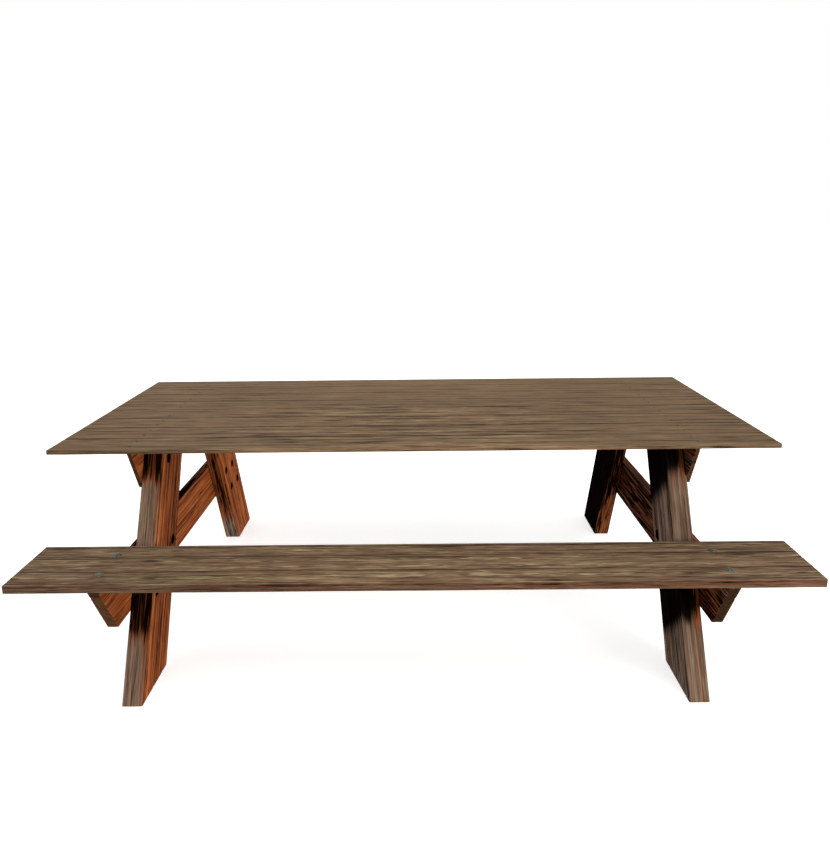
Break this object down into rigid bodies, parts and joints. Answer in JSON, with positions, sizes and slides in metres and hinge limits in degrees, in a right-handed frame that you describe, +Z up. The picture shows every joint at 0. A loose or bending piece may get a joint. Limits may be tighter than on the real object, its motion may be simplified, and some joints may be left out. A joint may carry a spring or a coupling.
{
  "type": "picnic table",
  "caption": "Wooden picnic table: boarded top and a plank bench along each side, on splayed legs bolted to cross beams.",
  "frame": {"origin": "on the floor, below the middle of the tabletop", "axes": "+Z up, +X along the tabletop's length, front toward -Y"},
  "size_m": [2.342, 1.516, 0.75],
  "materials": {
    "tabletop_wood": "weathered, brown-grey, fine straight grain",
    "bench_wood": "weathered, brown-grey with pale olive and dark grain lines",
    "frame_wood": "red-brown stained, grey where the weather reaches it",
    "screw_steel": "dull, darkened",
    "weathered_zinc": "grey-green weathered zinc plate",
    "dark_steel": "dark, lightly rusted"
  },
  "bodies": {
    "root": {"batten_screws": "screw_steel", "beam_bolts": "weathered_zinc", "bench_dome_screws": "weathered_zinc", "bolt_nuts": "dark_steel", "bolt_washers": "dark_steel", "centre_batten": "frame_wood", "cleat_bolts": "weathered_zinc", "front_bench_plank": "bench_wood", "leg_front_left": "frame_wood", "leg_front_right": "frame_wood", "leg_rear_left": "frame_wood", "leg_rear_right": "frame_wood", "rear_bench_plank": "bench_wood", "seat_beam_left": "frame_wood", "seat_beam_right": "frame_wood", "tabletop_board_1": "tabletop_wood", "tabletop_board_2": "tabletop_wood", "tabletop_board_3": "tabletop_wood", "tabletop_board_4": "tabletop_wood", "tabletop_board_5": "tabletop_wood", "tabletop_board_6": "tabletop_wood", "tabletop_board_7": "tabletop_wood", "tabletop_board_8": "tabletop_wood", "tabletop_screws": "screw_steel", "top_cleat_left": "frame_wood", "top_cleat_right": "frame_wood"}
  },
  "joints": []
}
